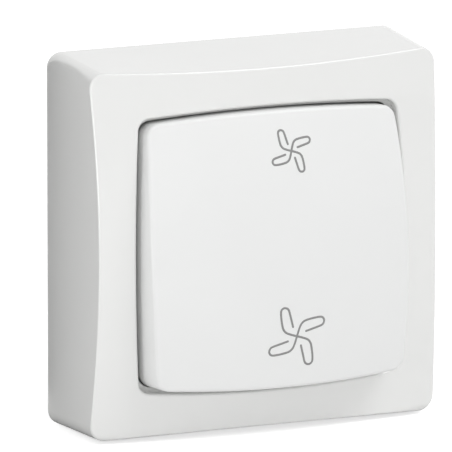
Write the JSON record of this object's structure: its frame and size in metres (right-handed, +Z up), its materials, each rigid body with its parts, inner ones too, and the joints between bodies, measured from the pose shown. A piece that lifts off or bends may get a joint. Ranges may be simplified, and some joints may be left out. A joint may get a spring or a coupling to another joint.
{
  "type": "ventilation control switch",
  "caption": "Surface-mounted square wall switch for two ventilation speeds, with a large domed rocker key in a one-piece drafted cover.",
  "frame": {"origin": "centre of the back face, on the wall plane, level with both wall screws", "axes": "+Z up, +X to the right as seen from the room, +Y into the wall; the key faces -Y"},
  "size_m": [0.086, 0.0377, 0.086],
  "materials": {
    "cover_plastic": "white satin-gloss moulding",
    "key_plastic": "white satin-gloss moulding",
    "base_plastic": "matt white moulding",
    "mechanism_plastic": "light grey filled moulding",
    "cradle_plastic": "natural white slippery moulding",
    "plated_steel": "bright zinc-plated sheet steel",
    "screw_steel": "zinc-plated turned steel",
    "spring_steel": "bright spring wire",
    "strip_brass": "rolled brass strip",
    "contact_silver": "dull silver rivet"
  },
  "bodies": {
    "switch_base": {"front_cover": "cover_plastic", "wall_base": "base_plastic", "support_plate": "plated_steel", "plate_screws": "screw_steel", "mechanism_housing": "mechanism_plastic", "mechanism_lid": "mechanism_plastic", "common_strip": "strip_brass", "low_speed_strip": "strip_brass", "high_speed_strip": "strip_brass", "fixed_contact_tips": "contact_silver", "low_speed_clamp": "plated_steel", "high_speed_clamp": "plated_steel", "common_clamp": "plated_steel", "terminal_screws": "screw_steel"},
    "key": {"rocker_key": "key_plastic", "key_cradle": "cradle_plastic", "detent_plunger": "cradle_plastic", "plunger_spring": "spring_steel"},
    "see_saw": {"contact_blade": "strip_brass", "moving_contact_tips": "contact_silver"}
  },
  "joints": [
    {"name": "key_rocking", "type": "hinge", "parent": "switch_base", "child": "key", "pos_m": [0, -0.025, 0], "axis": [1, 0, 0], "range_deg": [0, 10.8]},
    {"name": "see_saw_rocking", "type": "hinge", "parent": "switch_base", "child": "see_saw", "pos_m": [0, -0.013, 0], "axis": [1, 0, 0], "range_deg": [-16.2, 0]}
  ],
  "couplings": [
    {"joint": "see_saw_rocking", "follows": "key_rocking", "ratio": -1.5}
  ]
}
